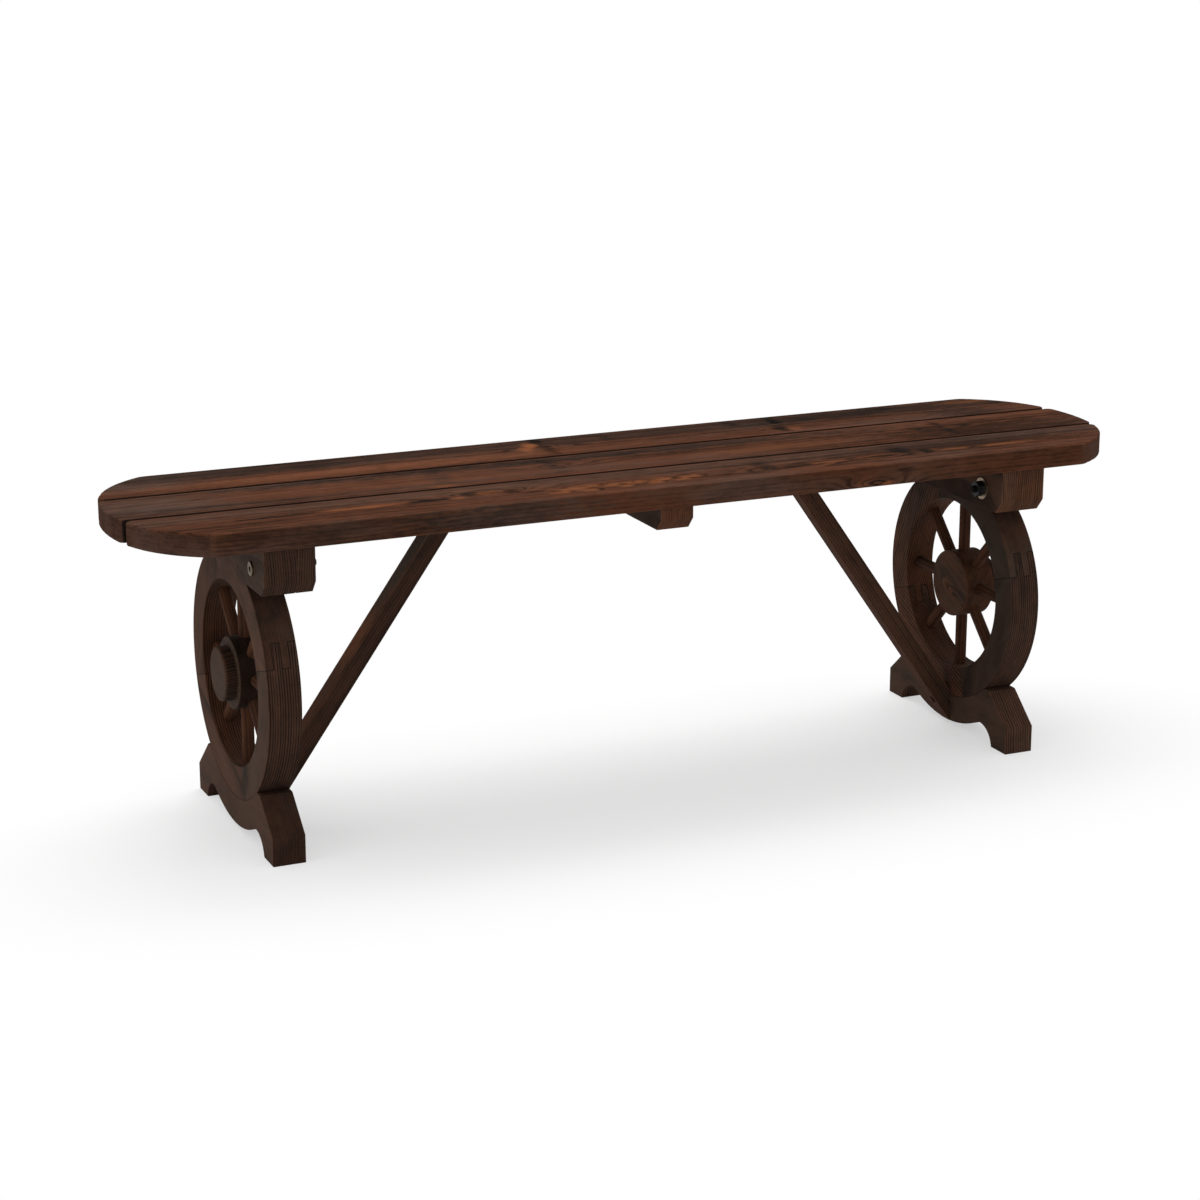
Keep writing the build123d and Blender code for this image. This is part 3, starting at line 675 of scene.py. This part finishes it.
# a flame-shaped tip: a glow and the char ahead of it along the board, at size 1
flame = {
    "glow": {"reach": (0.026, 0.010, 0.01), "ahead": 0.0, "mark": {"tone": 0.08, "ember": 0.55}},
    "char": {"reach": (0.009, 0.010, 0.01), "ahead": 0.019, "mark": {"tone": -0.42}},
}
for name, board in seat["boards"].items():
    for along, across, size in board.get("flames", ()):
        for tip in flame.values():
            board["marks"].append({**tip["mark"], "at": (along + tip["ahead"] * size, across, 0),
                                   "reach": [length * size for length in tip["reach"]]})
    look = {**seat["look"], "Seed": board["seed"], "Aside": board["aside"], "Shade": board["shade"]}
    dress(name, boardFinish(
        name + "Finish", (0, board["line"], seat["top"]), (1, 0, 0), (0, 0, 1), seatShades, look, board["knots"],
        board["marks"], {**seat["edges"], "Middle": board["line"]}, tips=seat["tips"],
        gaps=[(way, *seat[kind]) for way, kind in board["gaps"]], gloss=seat["gloss"]))
print("seat boards dressed")

# end frames: wheel centre, middle plane of each frame, and the look of each piece
ends = {
    "wheelHeight": 0.206,
    "middle": 0.52675,
    "half": 0.0215,
    "capHalf": 0.037,
    "capRound": 0.0035,
    "cleat": 0.494,
    "cleatHalf": 0.01125,
    "railHeight": 0.37,
    "footHeight": 0.05,
    "sides": {"left": -1, "right": 1},
    "seeds": {"left": 20.0, "right": 60.0},
    "dowelSeed": 30.0,  # added to the side's seed
    "felloeRadius": 0.14,
    "felloeTurns": {"top": 67.25, "rear": 157.25, "bottom": 247.25, "front": 337.25},
    "joint": {"Layer": 0.01075, "Joint": math.radians(22.25), "Lean": math.radians(5.75), "Width": 0.0007},
    "lean": {"right_rear": 0.8, "right_bottom": 0.8},  # felloes sawn aslant to the growth rings
    "spokeCount": 8,
    "bracePlace": (0.37, 0, 0.2),
    "bracing": (0.578, 0, -0.816),
    "braceFace": (0.816, 0, 0.578),
    "braceHalf": 0.01275,
    "gloss": 0.07,
    "rail": {"Ring Gap": 0.0031, "Pith": 0.5, "Wander": 0.005, "Ripple": 0.0005, "Lines": 0.42, "Streaks": 0.5,
             "Mottle": 0.45, "Patches": 0.5, "Glow": 0.2, "Grey": 0.3},
    "foot": {"Ring Gap": 0.0038, "Pith": 0.4, "Wander": 0.006, "Ripple": 0.0005, "Lines": 0.35, "Streaks": 0.5,
             "Mottle": 0.5, "Patches": 0.5, "Glow": 0.2, "Grey": 0.4},
    "felloe": {"Ring Gap": 0.0033, "Pith": 0.5, "Wander": 0.006, "Ripple": 0.0007, "Lines": 0.5, "Streaks": 0.5,
               "Mottle": 0.7, "Patches": 0.6, "Glow": 0.3, "Grey": 0.5},
    "hub": {"Ring Gap": 0.0030, "Pith": 0.05, "Wander": 0.035, "Ripple": 0.0012, "Lines": 0.4, "Streaks": 0.7,
            "Mottle": 0.6, "Patches": 0.5, "Glow": 0.5, "Grey": 0.4},
    "cap": {"Ring Gap": 0.0034, "Pith": 0.3, "Wander": 0.004, "Ripple": 0.0005, "Lines": 0.5, "Streaks": 0.5,
            "Mottle": 0.5, "Patches": 0.5, "Glow": 0.2, "Grey": 0.5},
    "brace": {"Ring Gap": 0.0036, "Pith": 0.3, "Aside": 0.17, "Wander": 0.010, "Ripple": 0.0006, "Lines": 0.5,
              "Streaks": 0.8, "Mottle": 0.6, "Patches": 0.6, "Glow": 0.35, "Grey": 0.4},
    "spoke": {"Ring Gap": 0.0040, "Pith": 0.2, "Wander": 0.006, "Ripple": 0.0006, "Lines": 0.25, "Streaks": 0.6,
              "Mottle": 0.6, "Patches": 0.5, "Glow": 0.3, "Grey": 0.3},
    # painted light and shade in these numbers: the left frame's outer faces brighter, the right frame's inner faces
    # under the seat darker, the left hub's round side dark, the left brace's narrow sides lighter than its broad
    # faces
    # shades, brightness, grain lines; then the flat faces' brightness against the sides, their calm and their ash
    # and sheen
    "tones": {
        "left": {
            "top_rail": (frameShades, 0.95, 0.6, 1.2, 0.5, 0.4),
            "seat_cleat": (frameShades, 0.95, 0.6, 1.0, 0.3, 0.3),
            "foot": (frameShades, 0.70, 0.2, 1.65, 0.4, 0.15),
            "hub": (frameShades, 0.36, 0.25, 2.5, 0.4, 0.3),
            "hub_cap": (frameShades, 0.75, 0.6, 1.35, 0.8, 0.4),
            "brace": (frameShades, 1.6, 0.36, 0.64, 0.0, 0.0),
            "top_felloe": (frameShades, 0.88, 0.2, 1.54, 0.75, 0.1),
            "rear_felloe": (warmShades, 0.7, 0.6, 1.0, 0.75, 0.3),
            "bottom_felloe": (warmShades, 0.8, 0.85, 0.98, 0.7, 0.25),
            "front_felloe": (frameShades, 1.0, 0.85, 1.05, 0.75, 0.3),
            "spoke": (warmShades, 0.8, 0.3, 1.0, 0.0, 0.0),
        },
        "right": {
            "top_rail": (warmShades, 1.08, 0.75, 0.8, 0.4, 0.3),
            "seat_cleat": (warmShades, 1.08, 0.75, 0.76, 0.5, 0.3),
            "foot": (frameShades, 1.45, 0.65, 0.66, 0.4, 0.3),
            "hub": (warmShades, 0.76, 0.16, 1.0, 0.0, 0.2),
            "hub_cap": (frameShades, 1.0, 0.6, 1.1, 0.8, 0.4),
            "brace": (warmShades, 0.86, 0.4, 0.95, 0.0, 0.3),
            "top_felloe": (frameShades, 1.0, 0.2, 0.62, 0.75, 0.3),
            "rear_felloe": (warmShades, 0.8, 0.5, 0.95, 0.0, 0.2),
            "bottom_felloe": (warmShades, 0.74, 0.7, 1.12, 0.15, 0.1),
            "front_felloe": (frameShades, 0.95, 0.7, 0.68, 0.75, 0.2),
            "spoke": (warmShades, 0.74, 0.3, 1.0, 0.0, 0.0),
        },
    },
    # marks on single pieces, placed along their grain, across it and out from the middle of the board
    "marks": {
        # painted shade: the top of the right ring, under the seat, darker and greyer
        "right_rear_felloe": [{"at": (-0.085, 0, 0.0215), "reach": (0.04, 0.06, 0.03), "tone": -0.35, "ashAndSheen": 0.5}],
        "left_brace": [
            # painted light on the brace's upper face, an orange streak on it, and grey of painted sheen towards its
            # top
            {"at": (0, 0, 0.0237), "reach": (1.0, 0.05, 0.004), "tone": 0.35},
            {"at": (-0.02, 0, 0.0237), "reach": (0.06, 0.02, 0.004), "ember": 0.6},
            {"at": (-0.15, 0, 0.0237), "reach": (0.12, 0.03, 0.004), "ashAndSheen": 0.8},
        ],
    },
    "knots": {
        "right_hub": [{"Centre": (-0.015, 0.018, 0.015), "Size": 0.0022, "Reach": 8.0, "Lift": 0.008}],
    },
}


def wheelWay(turn):
    return Vector((0, -math.cos(math.radians(turn)), math.sin(math.radians(turn))))


for side, sign in ends["sides"].items():
    middle = sign * ends["middle"]
    wheel = Vector((middle, 0, ends["wheelHeight"]))
    firstSeed = ends["seeds"][side]
    cleat = sign * ends["cleat"]
    flatEdges = {"Across": (1, 0, 0), "Middle": middle, "Half": ends["half"]}
    capEdges = {**flatEdges, "Half": ends["capHalf"], "Round": ends["capRound"]}
    cleatEdges = {**flatEdges, "Middle": cleat, "Half": ends["cleatHalf"]}
    braceEdges = {"Across": (0, 1, 0), "Half": ends["braceHalf"]}
    joints = {**ends["joint"], "Height": ends["wheelHeight"], "Start": middle - ends["half"]}
    braceWays = (ends[key] for key in ("bracePlace", "bracing", "braceFace"))
    bracePlace, slope, slopeFace = ((sign * way[0], *way[1:]) for way in braceWays)

    # node, its look, the point under which its pith lies, grain, face, edges, glue lines
    pieces = [
        ("top_rail", "rail", (middle, 0, ends["railHeight"]), (0, 1, 0), (-sign, 0, 0.03), flatEdges, None),
        ("seat_cleat", "rail", (cleat, 0, ends["railHeight"]), (0, 1, 0), (sign, 0, 0.05), cleatEdges, None),
        ("foot", "foot", (middle, 0, ends["footHeight"]), (0, 1, 0), (-sign, 0, 0.03), flatEdges, None),
        ("hub", "hub", wheel, (0, 1, 0.35), (-1, 0.25, 0.6), flatEdges, None),
        ("hub_cap", "cap", wheel, (0, 1, 0.1), (0, 0, 1), capEdges, None),
        ("brace", "brace", bracePlace, slope, slopeFace, braceEdges, None),
    ]
    for part, turn in ends["felloeTurns"].items():
        pith = wheel + wheelWay(turn) * ends["felloeRadius"]
        face = Vector((-1, 0, 0.03)) + wheelWay(turn) * ends["lean"].get(f"{side}_{part}", 0.0)
        pieces.append((f"{part}_felloe", "felloe", pith, wheelWay(turn + 90), face, flatEdges, joints))
    for index in range(ends["spokeCount"]):
        way = wheelWay(index * 360 / ends["spokeCount"])
        pieces.append((f"spoke_{index + 1}", "spoke", wheel, way, (1, 0.3, 0.2), None, None))
    tones = ends["tones"][side]
    for index, (node, look, centre, grain, face, edges, seam) in enumerate(pieces):
        shades, shade, lines, faceShade, faceCalm, faceAsh = tones.get(node, tones["spoke"])
        if edges:
            edges = {**edges, "faceShade": faceShade, "faceCalm": faceCalm, "faceAsh": faceAsh}
        dress(f"{side}_{node}", boardFinish(
            f"{side}_{node}Finish", centre, grain, face, shades,
            {**ends[look], "Seed": firstSeed + index, "Shade": shade, "Lines": lines},
            ends["knots"].get(f"{side}_{node}", ()), ends["marks"].get(f"{side}_{node}", ()), edges, seam,
            gloss=ends["gloss"]))
    dress(f"{side}_frame_dowels", boardFinish(
        f"{side}_dowelFinish", wheel, (0, 0, 1), (1, 0, 0), dowelShades,
        {**ends["spoke"], "Seed": firstSeed + ends["dowelSeed"]}))
print("end frames dressed")

# centre batten: the point under which its pith lies, and what differs from the rails' look
batten = {
    "centre": (0, 0, 0.39),
    "look": {"Seed": 90.0, "Shade": 1.0},
    # the flat faces darker and greyer: painted shade under the seat, with ash and painted sheen
    "edges": {"Across": (1, 0, 0), "Half": 0.023, "faceShade": 0.72, "faceCalm": 0.3, "faceAsh": 0.7},
}
dress("centre_batten", boardFinish(
    "battenFinish", batten["centre"], (0, 1, 0), (1, 0, 0.03), warmShades, {**ends["rail"], **batten["look"]},
    edges=batten["edges"], gloss=ends["gloss"]))
print("batten dressed")

# how metal wears: share of scratches, where wear begins and is full, and what wear and painted shade add to
# roughness
metalMix = {
    "scratch": 0.5,
    "worn": (-0.12, 0.25),
    "wornRough": 0.2,
    "paintedShadeRough": 0.35,
    "paintedShadeColor": (0.012, 0.011, 0.010, 1),
    "bump": {"Strength": 0.15, "Distance": 0.0002},
}


# plated or blackened metal: tarnish in blotches, fine scratches, and painted shade where its input asks
def makeMetalGroup(mix):
    group, taken, given = newGroup(
        "wornMetal",
        [("Place", vectorKind, None), ("Clean", colorKind, None), ("Worn", colorKind, None),
         ("PaintedShade", floatKind, 0.0), ("PaintedShadeColor", colorKind, mix["paintedShadeColor"]), ("Smooth", floatKind, 0.3)],
        [("Color", colorKind), ("Roughness", floatKind), ("Height", floatKind)],
    )
    blotch = grainNoise(group, taken["Place"], 0.0, "blotch")
    scratch = grainNoise(group, taken["Place"], 0.0, "scratch")
    worn = mathNode(group, "MULTIPLY_ADD", scratch, mix["scratch"], blotch)
    worn = easeNode(group, worn, *mix["worn"])
    color = mixColor(group, worn, taken["Clean"], taken["Worn"])
    color = mixColor(group, taken["PaintedShade"], color, taken["PaintedShadeColor"])
    group.links.new(color, given["Color"])
    rough = mathNode(group, "MULTIPLY_ADD", worn, mix["wornRough"], taken["Smooth"])
    rough = mathNode(group, "MULTIPLY_ADD", taken["PaintedShade"], mix["paintedShadeRough"], rough)
    group.links.new(rough, given["Roughness"])
    group.links.new(scratch, given["Height"])
    return group


metalGroup = makeMetalGroup(metalMix)

# metals as linear colours; the bolts' axis in y and z, their sockets' reach, and where along x their ends turn black
fasteners = {
    "bolt": {"Clean": (0.130, 0.088, 0.048, 1), "Worn": (0.075, 0.050, 0.026, 1), "Smooth": 0.42},
    "washer": {"Clean": (0.31, 0.24, 0.165, 1), "Worn": (0.19, 0.142, 0.092, 1), "Smooth": 0.42},
    # near-black: the screws' finish, and on the nuts a painted reflection of the dark wood around them
    "black": {"Clean": (0.008, 0.008, 0.0078, 1), "Worn": (0.020, 0.0195, 0.018, 1), "Smooth": 0.4},
    "boltAxis": (0.112, 0.370),
    "socket": (0.0037, 0.0031),
    "blackEnd": (0.500, 0.490),
    "metallic": {"bolt": 1.0, "washer": 1.0, "black": 0.1},
    "shine": {"bolt": 0.5, "washer": 0.5, "black": 0.16},
}


def metalFinish(name, kind):
    finish = bpy.data.materials.new(name)
    finish.use_nodes = True
    tree = finish.node_tree
    shader = tree.nodes["Principled BSDF"]
    place = addNode(tree, "ShaderNodeTexCoord").outputs["Object"]
    links = {"Place": place}
    if kind == "bolt":
        # painted shade: the socket in each bolt head and the bolts' inner ends are darkened
        axes = addNode(tree, "ShaderNodeSeparateXYZ", {0: place}).outputs
        ahead = mathNode(tree, "SUBTRACT", mathNode(tree, "ABSOLUTE", axes["Y"]), fasteners["boltAxis"][0])
        up = mathNode(tree, "SUBTRACT", axes["Z"], fasteners["boltAxis"][1])
        reach = vectorNode(tree, "LENGTH", addNode(tree, "ShaderNodeCombineXYZ", {"X": ahead, "Y": up}).outputs[0])
        socket = easeNode(tree, reach, *fasteners["socket"])
        black = easeNode(tree, mathNode(tree, "ABSOLUTE", axes["X"]), *fasteners["blackEnd"])
        links["PaintedShade"] = mathNode(tree, "MAXIMUM", socket, black)
    metal = placeGroup(tree, metalGroup, links, fasteners[kind])
    tree.links.new(metal["Color"], shader.inputs["Base Color"])
    tree.links.new(metal["Roughness"], shader.inputs["Roughness"])
    bump = addNode(tree, "ShaderNodeBump", {"Height": metal["Height"], **metalMix["bump"]})
    tree.links.new(bump.outputs["Normal"], shader.inputs["Normal"])
    shader.inputs["Metallic"].default_value = fasteners["metallic"][kind]
    shader.inputs["Specular IOR Level"].default_value = fasteners["shine"][kind]
    return finish


brassBolt = metalFinish("boltBrass", "bolt")
brassWasher = metalFinish("washerBrass", "washer")
blackSteelAndPaintedReflection = metalFinish("blackSteelAndPaintedReflection", "black")
for side in ends["sides"]:
    dress(f"{side}_connector_bolts", brassBolt)
    dress(f"{side}_bolt_washers", brassWasher)
    for node in ("bolt_nuts", "cleat_screws", "brace_screws"):
        dress(f"{side}_{node}", blackSteelAndPaintedReflection)
dress("batten_screws", blackSteelAndPaintedReflection)
print("fasteners dressed")
